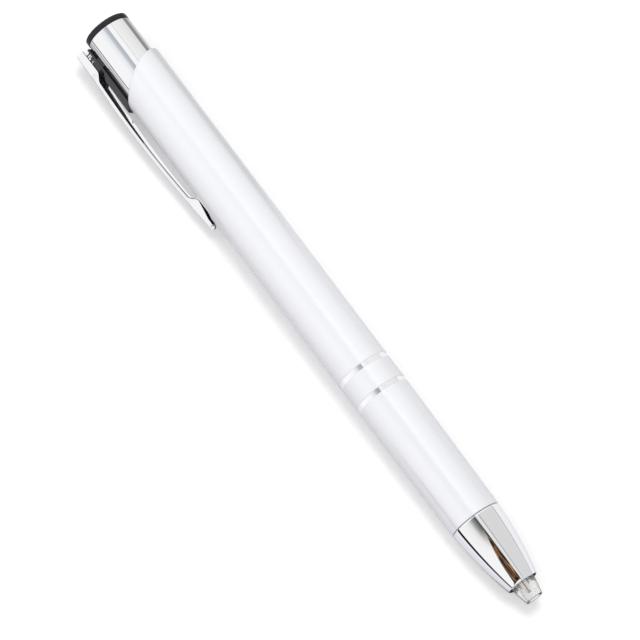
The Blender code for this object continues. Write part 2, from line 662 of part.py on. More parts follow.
def clip_outer(station):
    """How far the clip's outer face stands from the axis."""
    if station >= CLIP_HEAD_END:
        return HEAD_RADIUS
    bow = (max(station, CLIP_FOOT) - CLIP_BOW) / (CLIP_HEAD_END - CLIP_BOW)
    drop = CLIP_PADDLE_DROP * paddle_share(station)
    return BARREL_RADIUS + CLIP_BOW_RISE - (CLIP_BOW_RISE - CLIP_HEAD_RISE) * bow ** 2 - drop


def clip_inner(station):
    """How far the edges of the clip's walls stand from the axis."""
    head = BARREL_RADIUS + CLIP_HEAD_GAP
    foot = BARREL_RADIUS + CLIP_FOOT_GAP
    thin = clip_outer(station) - CLIP_WALL_DEPTH
    if station >= CLIP_HEAD_END:
        return head
    if station > CLIP_NECK:
        return head + (thin - head) * (CLIP_HEAD_END - station) / CLIP_SHOULDER
    if station >= CLIP_FOOT:
        share = min((station - CLIP_FOOT) / CLIP_FOOT_LENGTH, 1.0)
        return foot + (thin - foot) * share
    return foot + CLIP_PADDLE_RISE * paddle_share(station)


def clip_half_width(station):
    share = (station - CLIP_FOOT) / (CLIP_HEAD_END - CLIP_FOOT)
    share = min(max(share, 0.0), 1.0) ** CLIP_TAPER_POWER
    return (CLIP_END_WIDTH + (CLIP_HEAD_WIDTH - CLIP_END_WIDTH) * share) / 2


def clip_section(station):
    """The outside of the clip at a station, as (out, side) points."""
    low, high, half = clip_inner(station), clip_outer(station), clip_half_width(station)
    middle = (low + high) / 2
    into = min(max((CLIP_END + CLIP_BALL - station) / CLIP_BALL, 0.0), 1.0)
    size = max(math.sqrt(1 - into ** 2), CLIP_END_SHARE)
    low, high = middle + (low - middle) * size, middle + (high - middle) * size
    half *= size
    edge = CLIP_EDGE * size
    return [(low, -half), (high - edge, -half), (high, edge - half),
            (high, half - edge), (high - edge, half), (low, half)]


def clip_stations():
    stations = [CLIP_TOP, CLIP_HEAD_END]
    stations += [CLIP_HEAD_END - CLIP_SHOULDER * i / SHOULDER_STEPS for i in range(1, SHOULDER_STEPS)]
    thin_end = CLIP_FOOT + CLIP_FOOT_LENGTH
    stations += [CLIP_NECK + (thin_end - CLIP_NECK) * i / CLIP_STEPS for i in range(CLIP_STEPS + 1)]
    stations += [CLIP_FOOT + CLIP_FOOT_LENGTH / 2, CLIP_FOOT, CLIP_FOOT - CLIP_PADDLE_LENGTH / 2,
                 CLIP_FOOT - CLIP_PADDLE_LENGTH]
    quarter = math.pi / 2 / END_STEPS
    stations += [CLIP_END + CLIP_BALL * (1 - math.sin(quarter * i)) for i in range(END_STEPS + 1)]
    return stations


def clip_corners():
    return [corner for station in clip_stations() for corner in clip_section(station)]


def resting_lean():
    """The roll at which the lowest corner of the clip is level with the barrel's underside."""
    return min(math.asin(BARREL_RADIUS / math.hypot(out, side)) - math.atan2(side, out)
               for out, side in clip_corners())


def clip_reach(lean):
    """How far the leaning clip reaches sideways from the pen's axis."""
    return max(out * math.cos(lean) + side * math.sin(lean) for out, side in clip_corners())


def clip_pocket():
    """The inside of the channel, open towards the barrel."""
    sections = []
    rear = CLIP_TOP - CLIP_PLATE
    stations = [rear] + [s for s in clip_stations() if CLIP_FOOT < s < rear]
    for station in stations:
        top = clip_outer(station) - CLIP_PLATE
        half = clip_half_width(station) - CLIP_PLATE
        corners = [(BORE_RADIUS, -half), (top, -half), (top, half), (BORE_RADIUS, half)]
        sections.append([(along(station), -out, side) for out, side in corners])
    return loft(sections)


def make_clip(pen):
    pivot = (along(CLIP_TOP - CLIP_PLATE), -(BARREL_RADIUS + CLIP_HEAD_GAP), 0.0)
    shell = loft([[(along(station), -out, side) for out, side in clip_section(station)]
                  for station in clip_stations()])
    clip = pen.add("clip", shell, "chrome", origin=pivot)
    pen.shape(clip, "channel", clip_pocket(), "DIFFERENCE")
    tab = BARREL_RADIUS + CLIP_HEAD_GAP
    inside = CLIP_HEAD_WIDTH - CLIP_PLATE
    for number in range(CLIP_TAB_COUNT):
        rear = CLIP_TOP - CONTACT_GAP - number * CLIP_TAB_PITCH
        fold = block(rear - CLIP_PLATE, rear, tab, HEAD_RADIUS - CLIP_PLATE / 2, inside)
        pen.shape(clip, f"fold_{number + 1}", fold, "UNION")


def build_pen():
    for piece in list(bpy.data.objects):
        bpy.data.objects.remove(piece, do_unlink=True)
    pen = Pen()
    make_barrel(pen)
    make_nose(pen)
    make_light(pen)
    make_spring(pen)
    make_refill(pen)
    make_carrier(pen)
    make_cap(pen)
    make_rotor(pen)
    make_cam_body(pen)
    make_core(pen)
    make_sleeve(pen)
    make_disc(pen)
    make_clip(pen)


build_pen()
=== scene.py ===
"""Looks of a click-action ballpoint pen with a light in its clear tip.

The pen's own frame has X along its axis with the tip at +X, the clip on the -Y side and Z
across the clip.  A station is a distance in millimetres from the flat end of the tip.
Sizes of the pen are in millimetres, and places on the floor and in materials are in metres.
"""
import json
import math

import bmesh
import bpy
from mathutils import Matrix, Vector


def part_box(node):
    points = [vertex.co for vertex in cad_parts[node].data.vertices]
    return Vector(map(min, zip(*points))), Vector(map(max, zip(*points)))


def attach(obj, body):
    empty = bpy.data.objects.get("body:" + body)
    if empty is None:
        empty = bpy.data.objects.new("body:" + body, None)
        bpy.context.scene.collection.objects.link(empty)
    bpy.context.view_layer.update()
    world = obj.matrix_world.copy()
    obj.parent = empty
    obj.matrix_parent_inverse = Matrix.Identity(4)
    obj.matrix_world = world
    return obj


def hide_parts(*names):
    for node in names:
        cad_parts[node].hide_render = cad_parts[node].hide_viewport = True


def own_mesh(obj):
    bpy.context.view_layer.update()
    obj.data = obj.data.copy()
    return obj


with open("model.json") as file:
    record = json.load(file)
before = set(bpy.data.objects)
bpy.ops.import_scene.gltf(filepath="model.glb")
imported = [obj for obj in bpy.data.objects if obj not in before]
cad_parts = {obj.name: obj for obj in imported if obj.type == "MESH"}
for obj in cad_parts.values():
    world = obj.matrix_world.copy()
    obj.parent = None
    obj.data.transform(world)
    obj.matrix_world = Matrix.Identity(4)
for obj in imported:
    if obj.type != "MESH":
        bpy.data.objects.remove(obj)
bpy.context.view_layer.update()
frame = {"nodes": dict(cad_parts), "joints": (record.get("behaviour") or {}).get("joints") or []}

MM = 0.001
LENGTH = 139.0
AROUND = 160
FULL_TURN = 2 * math.pi
EDGE_ROUND, THIN_EDGE_ROUND = 0.1, 0.08

# Barrel
BARREL_FRONT, BARREL_MOUTH = 18.45, 126.2
BARREL_RADIUS, BORE_RADIUS, FRONT_RADIUS = 5.5, 4.75, 5.27
MOUTH_ANGLE, MOUTH_ROUND, FRONT_ROUND = math.radians(31.0), 0.3, 0.12
GROOVE_STARTS, GROOVE_WIDTH, GROOVE_DEPTH, GROOVE_SLOPE = (47.53, 53.23), 1.13, 0.12, 0.06
GROOVE_INSET, GROOVE_FADE = 0.03, 0.08
KEY_WIDTH, KEY_FRONT, KEY_OVERCUT = 3.6, 117.0, 0.75

# Nose and clear tip
NOSE_RIM, NOSE_REAR, NOSE_RADIUS, NOSE_BULGE, NOSE_STEPS = 3.6, 18.3, 5.21, 0.37, 28
TIP_HOLE, RIM_RADIUS, RIM_CHAMFER = 2.52, 3.18, 0.12
SPIGOT_REAR, SPIGOT_RADIUS, SPIGOT_BORE = 24.15, 4.65, 3.69
SEAT_FRONT, SEAT_REAR, TIP_REAR = 5.0, 7.0, 9.0
TIP_BORE, TIP_END_RADIUS, TIP_TAPER, TIP_RADIUS = 1.22, 1.74, 3.4, 2.42
TIP_CHAMFER, TIP_BULGE, TIP_STEPS = 0.08, 0.03, 16
FLANGE_RADIUS, POCKET_FRONT, POCKET_OUTER, POCKET_INNER = 3.59, 8.1, 3.14, 1.67

# Plunger
SLEEVE_FRONT, SLEEVE_RADIUS, SLEEVE_WALL, SLOT_HALF, SLEEVE_GAP = 110.35, 4.65, 0.5, 2.65, 0.05
DISC_FRONT, DISC_RADIUS, DISC_ROUND, PEG_RADIUS, PEG_LENGTH = 137.83, 4.7, 0.16, 1.5, 4.0

# Clip
CLIP_TOP, CLIP_END, CLIP_HEAD_END, CLIP_NECK, CLIP_FOOT = 138.2, 94.3, 133.15, 131.1, 100.45
CLIP_BOW, CLIP_BOW_RISE, CLIP_HEAD_RISE = 116.5, 2.95, 2.25
CLIP_SHEET, CLIP_EDGE, CLIP_EDGE_LIMIT, CLIP_DEPTH = 0.34, 0.36, 0.6, 0.85
CLIP_HEAD_WIDTH, CLIP_END_WIDTH, CLIP_TAPER_POWER, CLIP_FLARE = 4.0, 1.5, 1.5, 0.5
CLIP_HEAD_GAP, CLIP_FOOT_GAP, CLIP_FOOT_RAMP = 0.48, 0.2, 2.05
TOE_LENGTH, TOE_DROP, TOE_RISE = 4.0, 0.4, 0.7
CLIP_SHOULDER, CLIP_ROUND, CLIP_END_SHARE, BEAD_RADIUS = 2.05, 1.1, 0.08, 0.62
CLIP_LEAN, CLIP_KEEL_END = 0.28, 123.5
CLIP_ROWS, CLIP_COLUMNS, CLIP_CROWDING = 150, 40, 1.3
CLIP_TOP_SHARE, CLIP_EDGE_SHARE, CLIP_WALL_SHARE = 0.4, 0.3, 0.3
# Inside faces of the clip's toe, ahead of this station, get a dark finish that paints the shade in the
# channel.
SHADED_TOE_START = CLIP_FOOT + 0.6
LUG_SHEET, LUG_OUTLINE = 0.5, ((5.79, -0.8), (5.79, -0.35), (7.55, 0.45), (7.55, -0.8))
LUG_COUNT, LUG_PITCH, LUG_INSET = 3, 1.13, 0.05

# Spring
COIL_RADIUS, WIRE_RADIUS, COIL_TURNS, COIL_STEPS, WIRE_SIDES = 2.0, 0.2, 7, 24, 12
COIL_GAP, STROKE = 0.03, 5.0

# Staging
FLOOR_CONTACT, FLOOR_SLOPE, FLOOR_REACH, FLOOR_LIFT = 20.0, 0.025, 3.0, 0.22
DOME_LEAN = 0.5
LAMP_PLACE, LAMP_SIZE, LAMP_WATTS = Vector((-0.07, 0.112, 0.64)), 0.24, 1.42
CAMERA_AZIMUTH, CAMERA_ELEVATION, CAMERA_DISTANCE = math.radians(54.357), math.radians(72.5), 0.78
CAMERA_ANGLE, CAMERA_REACH, CAMERA_SHIFT = math.radians(8.8578), 20.0, (0.0025355, -0.0008064)

nose_low, nose_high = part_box("nose_cone")
AXIS_Y, AXIS_Z = ((nose_low[i] + nose_high[i]) / 2 for i in (1, 2))
flex = next(joint for joint in frame["joints"] if joint["name"] == "clip_flex")["axis"]
PEN = Matrix.Translation((0.0, AXIS_Y, AXIS_Z)) @ Matrix.Rotation(math.atan2(flex[1], -flex[2]), 4, "X")


class Signal:
    """A value inside a node tree that Python's own operators can work on."""

    def __init__(self, nodes, socket):
        self.nodes, self.socket = nodes, socket

    def maths(self, operation, first, second):
        return self.nodes.add("ShaderNodeMath", {"operation": operation}, {0: first, 1: second})

    def __add__(self, other): return self.maths("ADD", self, other)
    def __radd__(self, other): return self.maths("ADD", other, self)
    def __sub__(self, other): return self.maths("SUBTRACT", self, other)
    def __rsub__(self, other): return self.maths("SUBTRACT", other, self)
    def __mul__(self, other): return self.maths("MULTIPLY", self, other)
    def __rmul__(self, other): return self.maths("MULTIPLY", other, self)
    def __truediv__(self, other): return self.maths("DIVIDE", self, other)


class Nodes:
    """A node tree and one way to add any node to it."""

    def __init__(self, tree):
        self.tree = tree
        tree.nodes.clear()

    def add(self, kind, settings=None, inputs=None, output=0):
        node = self.tree.nodes.new(kind)
        for name, value in (settings or {}).items():
            if name == "stops":
                self.set_stops(node.color_ramp, value)
            else:
                setattr(node, name, value)
        for name, value in (inputs or {}).items():
            if isinstance(value, Signal):
                self.tree.links.new(value.socket, node.inputs[name])
            else:
                node.inputs[name].default_value = value
        return Signal(self, node.outputs[output]) if node.outputs else node

    @staticmethod
    def set_stops(ramp, stops):
        while len(ramp.elements) < len(stops):
            ramp.elements.new(0.5)
        for element, (place, colour) in zip(ramp.elements, stops):
            element.position = place
            element.color = (*colour, 1.0)

    def object_place(self):
        return self.add("ShaderNodeTexCoord", output=3)

    def coordinate(self, axis):
        return self.add("ShaderNodeSeparateXYZ", inputs={0: self.object_place()}, output="XYZ".index(axis))

    def noise(self, scale, detail=2.0, stretch=(1.0, 1.0, 1.0)):
        place = self.add("ShaderNodeMapping", inputs={"Vector": self.object_place(), "Scale": stretch})
        return self.add("ShaderNodeTexNoise", inputs={"Vector": place, "Scale": scale, "Detail": detail})

    def ramp(self, value, low, high):
        """Goes smoothly from 0 to 1 as a value goes from low to high."""
        return self.add("ShaderNodeMapRange", {"interpolation_type": "SMOOTHSTEP"},
                        {"Value": value, "From Min": low, "From Max": high})

    def strip(self, value, rise, fall):
        """1 between two soft edges, each given by where it starts and where it ends, and 0 outside."""
        return self.ramp(value, *rise) * (1 - self.ramp(value, *fall))

    def blend(self, share, first, second):
        colour = [c if isinstance(c, Signal) else (*c, 1.0) for c in (first, second)]
        return self.add("ShaderNodeMix", {"data_type": "RGBA"},
                        {0: share, 6: colour[0], 7: colour[1]}, output=2)

    def bump(self, height, strength, distance):
        return self.add("ShaderNodeBump",
                        inputs={"Strength": strength, "Distance": distance, "Height": height})

    def emission(self, colour, strength=1.0):
        colour = colour if isinstance(colour, Signal) else (*colour, 1.0)
        return self.add("ShaderNodeEmission", inputs={"Color": colour, "Strength": strength})

    def mix_shaders(self, share, first, second):
        return self.add("ShaderNodeMixShader", inputs={0: share, 1: first, 2: second})

    def ray_is(self, kind):
        """1 for a ray of a kind: seen by the camera, mirrored or let through."""
        return self.add("ShaderNodeLightPath", output={"seen": 0, "mirrored": 3, "through": 6}[kind])

    def principled(self, **sockets):
        named = {name.replace("_", " ").title().replace("Ior", "IOR"): value
                 for name, value in sockets.items()}
        shader = self.add("ShaderNodeBsdfPrincipled", inputs=named)
        self.add("ShaderNodeOutputMaterial", inputs={"Surface": shader})


def new_finish(name):
    material = bpy.data.materials.new(name)
    material.use_nodes = True
    return material, Nodes(material.node_tree)


def grey(value):
    return (value, value, value)


def along(station):
    return (LENGTH / 2 - station) * MM


def lacquer_finish():
    """Satin white lacquer with a cool pearl, turned through to bright metal in the two grooves."""
    material, nodes = new_finish("pearl_lacquer")
    pearl = nodes.noise(260.0, 3.0)
    speckle = nodes.noise(9000.0, 1.0)
    colour = nodes.blend(pearl, (0.905, 0.91, 0.94), (0.925, 0.928, 0.955))
    x = nodes.coordinate("X")
    fade = GROOVE_FADE * MM
    groove = None
    for start in GROOVE_STARTS:
        low, high = along(start + GROOVE_WIDTH - GROOVE_INSET), along(start + GROOVE_INSET)
        band = nodes.strip(x, (low, low + fade), (high - fade, high))
        groove = band if groove is None else groove + band
    colour = nodes.blend(groove, colour, (0.97, 0.97, 0.98))
    nodes.principled(base_color=colour, metallic=0.13 + 0.87 * groove,
                     roughness=0.24 + 0.05 * speckle - 0.16 * groove,
                     coat_weight=0.4 - 0.4 * groove, coat_roughness=0.1,
                     normal=nodes.bump(speckle, 0.05, 0.00002))
    return material


def chrome_finish(name, haze):
    """Bright plating with a faint haze and hairline polishing marks along the pen."""
    material, nodes = new_finish(name)
    cloud = nodes.noise(350.0, 3.0)
    hairline = nodes.noise(2500.0, stretch=(0.04, 1.0, 1.0))
    colour = nodes.blend(cloud, (0.90, 0.90, 0.915), (0.93, 0.93, 0.94))
    nodes.principled(base_color=colour, metallic=1.0, roughness=haze + 0.03 * hairline * cloud,
                     normal=nodes.bump(hairline, 0.03, 0.00001))
    return material


def moulded_finish(name, dark, light, roughness, sheen=0.5):
    """Moulded plastic with a fine grain and slight flow marks."""
    material, nodes = new_finish(name)
    grains, flow = nodes.noise(4000.0), nodes.noise(180.0)
    nodes.principled(base_color=nodes.blend(flow, dark, light), roughness=roughness + 0.12 * grains,
                     specular_ior_level=sheen, normal=nodes.bump(grains, 0.12, 0.00003))
    return material


def metal_finish(name, dark, light, roughness, stretch=(1.0, 1.0, 1.0)):
    """Plain worked metal with drawn or turned marks."""
    material, nodes = new_finish(name)
    marks, tone = nodes.noise(2200.0, stretch=stretch), nodes.noise(300.0, 3.0)
    nodes.principled(base_color=nodes.blend(tone, dark, light), metallic=1.0,
                     roughness=roughness + 0.12 * marks, normal=nodes.bump(marks, 0.08, 0.00002))
    return material


def point_finish():
    """Nickel-silver writing point with a narrow brown streak painted along one side: painted shade and
    painted reflection on its edge.
    """
    material, nodes = new_finish("nickel_point")
    turned, tone = nodes.noise(3000.0, stretch=(1.0, 0.1, 0.1)), nodes.noise(300.0, 3.0)
    silver = nodes.blend(tone, (0.80, 0.79, 0.76), (0.88, 0.87, 0.84))
    # Painted shade and reflection: a brown streak in a narrow band just on the clip's side of the axis.
    painted_edge_shade = nodes.strip(nodes.coordinate("Y") - AXIS_Y, (-0.00030, -0.00022), (-0.00004, 0.00004))
    nodes.principled(base_color=nodes.blend(painted_edge_shade, silver, (0.24, 0.135, 0.08)), metallic=1.0,
                     roughness=0.2 + 0.12 * turned, normal=nodes.bump(turned, 0.08, 0.00002))
    return material


def clear_finish():
    """Clear moulded plastic, a little warm and milky."""
    material, nodes = new_finish("clear_tip_plastic")
    haze = nodes.noise(900.0)
    nodes.principled(base_color=nodes.blend(haze, (0.985, 0.98, 0.975), (1.0, 0.998, 0.995)),
                     roughness=0.005 + 0.005 * haze, transmission_weight=0.88, ior=1.32)
    return material


def point(station, out, side):
    """A place in the pen's frame: out towards the clip, side across it, in millimetres."""
    return Vector((along(station), -out * MM, side * MM))


def bowed(start, end, bulge, steps):
    """Points from start to end that stand out by bulge halfway."""
    points = []
    for i in range(steps + 1):
        u = i / steps
        straight = start[1] + (end[1] - start[1]) * u
        points.append((start[0] + (end[0] - start[0]) * u, straight + 4 * bulge * u * (1 - u)))
    return points


def limited(share):
    return min(max(share, 0.0), 1.0)


def eased(share):
    return share * share * (3 - 2 * share)


def spun(profile, angle=FULL_TURN, start=0.0, steps=AROUND):
    """A closed profile of (station, radius) points turned about the pen's axis."""
    bm = bmesh.new()
    verts = [bm.verts.new((along(station), 0.0, radius * MM)) for station, radius in profile]
    edges = [bm.edges.new(pair) for pair in zip(verts, verts[1:] + verts[:1])
             if pair[0].co.z > 0 or pair[1].co.z > 0]
    bmesh.ops.rotate(bm, verts=verts, cent=(0, 0, 0), matrix=Matrix.Rotation(start, 3, "X"))
    whole = angle > FULL_TURN - 0.001
    bmesh.ops.spin(bm, geom=verts + edges, cent=(0, 0, 0), axis=(1, 0, 0), angle=angle, steps=steps,
                   use_merge=whole)
    bmesh.ops.remove_doubles(bm, verts=bm.verts, dist=1e-7)
    if not whole:
        bmesh.ops.holes_fill(bm, edges=[edge for edge in bm.edges if edge.is_boundary], sides=len(profile))
    bmesh.ops.recalc_face_normals(bm, faces=bm.faces)
    return bm


def round_edges(bm, edges, width, segments=3, **more):
    bmesh.ops.bevel(bm, geom=edges, offset=width * MM, segments=segments, profile=0.5, affect="EDGES",
                    material=-1, **more)


def soften(bm, width, sharper=math.radians(25.0)):
    """Rounds every edge that is sharper than an angle."""
    edges = [edge for edge in bm.edges if len(edge.link_faces) == 2 and edge.calc_face_angle() > sharper]
    round_edges(bm, edges, width, clamp_overlap=True)
    return bm


def finished(name, bm, material, body, node):
    """Turns a shape in the pen's frame into a piece that stands for a node."""
    bmesh.ops.transform(bm, matrix=PEN, verts=bm.verts)
    mesh = bpy.data.meshes.new(name)
    bm.to_mesh(mesh)
    bm.free()
    mesh.shade_smooth()
    mesh.set_sharp_from_angle(angle=math.radians(50.0))
    mesh.materials.append(material)
    piece = bpy.data.objects.new(name, mesh)
    bpy.context.scene.collection.objects.link(piece)
    piece.modifiers.new("even_normals", "WEIGHTED_NORMAL").keep_sharp = True
    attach(piece, body)
    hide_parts(node)
    return piece


def box(front, rear, low, high, width):
    """A block between two stations and two distances towards the clip."""
    bm = bmesh.new()
    bmesh.ops.create_cube(bm, size=1.0)
    size = Vector(((rear - front) * MM, (high - low) * MM, width * MM))
    bmesh.ops.scale(bm, verts=bm.verts, vec=size)
    bmesh.ops.translate(bm, verts=bm.verts, vec=point((front + rear) / 2, (low + high) / 2, 0.0))
    return bm


def cut_by(bm, cutter):
    """Takes a cutter's shape out of another shape."""
    objects = []
    for name, shape in (("shape_in_work", bm), ("cutter_in_work", cutter)):
        mesh = bpy.data.meshes.new(name)
        shape.to_mesh(mesh)
        shape.free()
        objects.append(bpy.data.objects.new(name, mesh))
        bpy.context.scene.collection.objects.link(objects[-1])
    step = objects[0].modifiers.new("cut", "BOOLEAN")
    step.operation, step.object = "DIFFERENCE", objects[1]
    result = bmesh.new()
    result.from_object(objects[0], bpy.context.evaluated_depsgraph_get())
    for thing in objects:
        bpy.data.objects.remove(thing, do_unlink=True)
    return result


def barrel_profile():
    profile = [(BARREL_FRONT, BORE_RADIUS), (BARREL_FRONT, FRONT_RADIUS)]
    floor = BARREL_RADIUS - GROOVE_DEPTH
    for start in GROOVE_STARTS:
        end = start + GROOVE_WIDTH
        profile += [(start, BARREL_RADIUS), (start + GROOVE_SLOPE, floor), (end - GROOVE_SLOPE, floor),
                    (end, BARREL_RADIUS)]
    rear = BARREL_MOUTH + 2 * BARREL_RADIUS
    return profile + [(rear, BARREL_RADIUS), (rear, BORE_RADIUS)]


def make_barrel(material):
    bm = spun(barrel_profile())
    cut = bmesh.ops.bisect_plane(bm, geom=bm.verts[:] + bm.edges[:] + bm.faces[:],
                                 plane_co=(along(BARREL_MOUTH), 0, 0), clear_outer=True,
                                 plane_no=(-math.cos(MOUTH_ANGLE), -math.sin(MOUTH_ANGLE), 0))
    rim = [edge for edge in cut["geom_cut"] if isinstance(edge, bmesh.types.BMEdge)]
    bmesh.ops.bridge_loops(bm, edges=rim)
    bmesh.ops.recalc_face_normals(bm, faces=bm.faces)
    round_edges(bm, [edge for edge in rim if edge.is_valid], MOUTH_ROUND, segments=5)
    front = [edge for edge in bm.edges if all(abs(v.co.x - along(BARREL_FRONT)) < 1e-6 for v in edge.verts)
             and edge.calc_face_angle() > 1.0]
    round_edges(bm, front, FRONT_ROUND)
    keyway = box(KEY_FRONT, BARREL_MOUTH, BORE_RADIUS - KEY_OVERCUT, BARREL_RADIUS + KEY_OVERCUT, KEY_WIDTH)
    finished("barrel_shell", cut_by(bm, keyway), material, "barrel", "barrel")


def make_nose(material):
    profile = [(NOSE_RIM, TIP_HOLE), (NOSE_RIM, RIM_RADIUS - RIM_CHAMFER)]
    profile += bowed((NOSE_RIM + RIM_CHAMFER, RIM_RADIUS), (NOSE_REAR, NOSE_RADIUS), NOSE_BULGE, NOSE_STEPS)
    profile += [(NOSE_REAR, SPIGOT_RADIUS), (SPIGOT_REAR, SPIGOT_RADIUS), (SPIGOT_REAR, SPIGOT_BORE),
                (SEAT_REAR, SPIGOT_BORE), (SEAT_FRONT, TIP_HOLE)]
    finished("nose_shell", soften(spun(profile), EDGE_ROUND), material, "nose", "nose_cone")


def make_tip(material):
    profile = [(0.0, TIP_BORE), (0.0, TIP_END_RADIUS)]
    profile += bowed((TIP_CHAMFER, TIP_END_RADIUS + TIP_BULGE), (TIP_TAPER, TIP_RADIUS), TIP_BULGE, TIP_STEPS)
    profile += [(SEAT_FRONT, TIP_RADIUS), (SEAT_REAR, FLANGE_RADIUS), (TIP_REAR, FLANGE_RADIUS),
                (TIP_REAR, POCKET_OUTER), (POCKET_FRONT, POCKET_OUTER), (POCKET_FRONT, POCKET_INNER),
                (TIP_REAR, POCKET_INNER), (TIP_REAR, TIP_BORE)]
    finished("clear_tip", soften(spun(profile), EDGE_ROUND), material, "light_unit", "light_tip")


def make_sleeve(material):
    start = math.asin(SLOT_HALF / SLEEVE_RADIUS)
    rear, bore = DISC_FRONT - SLEEVE_GAP, SLEEVE_RADIUS - SLEEVE_WALL
    profile = [(SLEEVE_FRONT, bore), (SLEEVE_FRONT, SLEEVE_RADIUS), (rear, SLEEVE_RADIUS), (rear, bore)]
    bm = soften(spun(profile, FULL_TURN - 2 * start, math.pi / 2 + start), THIN_EDGE_ROUND)
    finished("sleeve_shell", bm, material, "plunger", "plunger_sleeve")


def make_disc(material):
    peg_end = DISC_FRONT - PEG_LENGTH
    profile = [(DISC_FRONT, PEG_RADIUS), (DISC_FRONT, DISC_RADIUS), (LENGTH, DISC_RADIUS), (LENGTH, 0.0),
               (peg_end, 0.0), (peg_end, PEG_RADIUS)]
    finished("plunger_disc", soften(spun(profile), DISC_ROUND), material, "plunger", "end_disc")


def toe_share(station):
    return limited((CLIP_FOOT - station) / TOE_LENGTH)


def clip_outer(station):
    """How far the clip's outer face stands from the axis."""
    if station >= CLIP_HEAD_END:
        return BARREL_RADIUS + CLIP_HEAD_RISE
    bow = (max(station, CLIP_FOOT) - CLIP_BOW) / (CLIP_HEAD_END - CLIP_BOW)
    sag = (CLIP_BOW_RISE - CLIP_HEAD_RISE) * bow ** 2
    return BARREL_RADIUS + CLIP_BOW_RISE - sag - TOE_DROP * toe_share(station)


def clip_inner(station):
    """How far the edges of the clip's walls stand from the axis."""
    head, foot = BARREL_RADIUS + CLIP_HEAD_GAP, BARREL_RADIUS + CLIP_FOOT_GAP
    thin = clip_outer(station) - CLIP_DEPTH
    if station >= CLIP_HEAD_END:
        return head
    if station > CLIP_NECK:
        return head + (thin - head) * eased((CLIP_HEAD_END - station) / (CLIP_HEAD_END - CLIP_NECK))
    if station >= CLIP_FOOT:
        return foot + (thin - foot) * eased(min((station - CLIP_FOOT) / CLIP_FOOT_RAMP, 1.0))
    return foot + TOE_RISE * toe_share(station)


def clip_half_width(station):
    share = limited((station - CLIP_FOOT) / (CLIP_HEAD_END - CLIP_FOOT)) ** CLIP_TAPER_POWER
    return (CLIP_END_WIDTH + (CLIP_HEAD_WIDTH - CLIP_END_WIDTH) * share) / 2


def clip_flare(station):
    """How far the channel's walls lean outwards; the head and the foot stand straight."""
    past_keel = limited((CLIP_KEEL_END - station) / CLIP_SHOULDER)
    lean = CLIP_LEAN + (CLIP_FLARE - CLIP_LEAN) * past_keel
    return lean * limited(min(CLIP_HEAD_END - station, station - CLIP_FOOT) / CLIP_SHOULDER)


def clip_place(station, across):
    """Bends a flat strip, whose width runs from -1 to 1, into the clip's channel."""
    low, high, half = clip_inner(station), clip_outer(station), clip_half_width(station)
    into = limited((CLIP_END + CLIP_ROUND - station) / CLIP_ROUND)
    size = max(math.sqrt(1 - into * into), CLIP_END_SHARE)
    middle = (low + high) / 2
    low, high, half = middle + (low - middle) * size, middle + (high - middle) * size, half * size
    edge = min(CLIP_EDGE, CLIP_EDGE_LIMIT * half)
    flare, wall = clip_flare(station), high - edge - low
    flat = half - flare * wall - edge
    side, reach = math.copysign(1.0, across), abs(across)
    if reach <= CLIP_TOP_SHARE:
        return point(station, high, side * flat * reach / CLIP_TOP_SHARE)
    reach -= CLIP_TOP_SHARE
    if reach <= CLIP_EDGE_SHARE:
        turn = reach / CLIP_EDGE_SHARE * math.pi / 2
        return point(station, high - edge * (1 - math.cos(turn)), side * (flat + edge * math.sin(turn)))
    drop = wall * (reach - CLIP_EDGE_SHARE) / CLIP_WALL_SHARE
    return point(station, high - edge - drop, side * (half - flare * (wall - drop)))


def clip_sheet():
    """The bent sheet, with the inside faces of its toe marked for a dark finish that paints the channel's
    shade.
    """
    bm = bmesh.new()
    bmesh.ops.create_grid(bm, x_segments=CLIP_ROWS, y_segments=CLIP_COLUMNS, size=1.0)
    for vert in bm.verts:
        share = (vert.co.x + 1) / 2
        station = CLIP_END + (CLIP_TOP - CLIP_END) * share ** CLIP_CROWDING
        vert.co = clip_place(station, vert.co.y)
    bmesh.ops.recalc_face_normals(bm, faces=bm.faces)
    outermost = max(bm.faces, key=lambda face: -face.calc_center_median().y)
    if outermost.normal.y > 0:
        bmesh.ops.reverse_faces(bm, faces=bm.faces)
    bmesh.ops.solidify(bm, geom=bm.faces[:], thickness=CLIP_SHEET * MM)
    bm.normal_update()
    for face in bm.faces:
        centre = face.calc_center_median()
        inwards = face.normal.y > 0.8 or face.normal.z * centre.z < 0
        face.material_index = int(inwards and centre.x > along(SHADED_TOE_START))
    return bm


def clip_lug(rear):
    """A folded lug across the clip's head, its inner edge cut back on one side."""
    bm = bmesh.new()
    outline = [point(rear, out, side) for out, side in LUG_OUTLINE]
    face = bm.faces.new([bm.verts.new(place) for place in outline])
    grown = bmesh.ops.extrude_face_region(bm, geom=[face])["geom"]
    moved = [item for item in grown if isinstance(item, bmesh.types.BMVert)]
    bmesh.ops.translate(bm, verts=moved, vec=(LUG_SHEET * MM, 0, 0))
    bmesh.ops.recalc_face_normals(bm, faces=bm.faces)
    return soften(bm, THIN_EDGE_ROUND)


def make_clip(material, inside):
    bm = clip_sheet()
    bead = bmesh.ops.create_uvsphere(bm, u_segments=32, v_segments=20, radius=BEAD_RADIUS * MM)["verts"]
    middle = (clip_inner(CLIP_END) + clip_outer(CLIP_END)) / 2
    bmesh.ops.translate(bm, verts=bead, vec=point(CLIP_END + BEAD_RADIUS, middle, 0.0))
    for i in range(LUG_COUNT):
        lug = clip_lug(CLIP_TOP - LUG_INSET - LUG_PITCH * i)
        mesh = bpy.data.meshes.new("lug_in_work")
        lug.to_mesh(mesh)
        lug.free()
        bm.from_mesh(mesh)
        bpy.data.meshes.remove(mesh)
    strip = finished("clip_strip", bm, material, "clip", "clip")
    # The second finish is painted shade for the inside faces of the toe.
    strip.data.materials.append(inside)


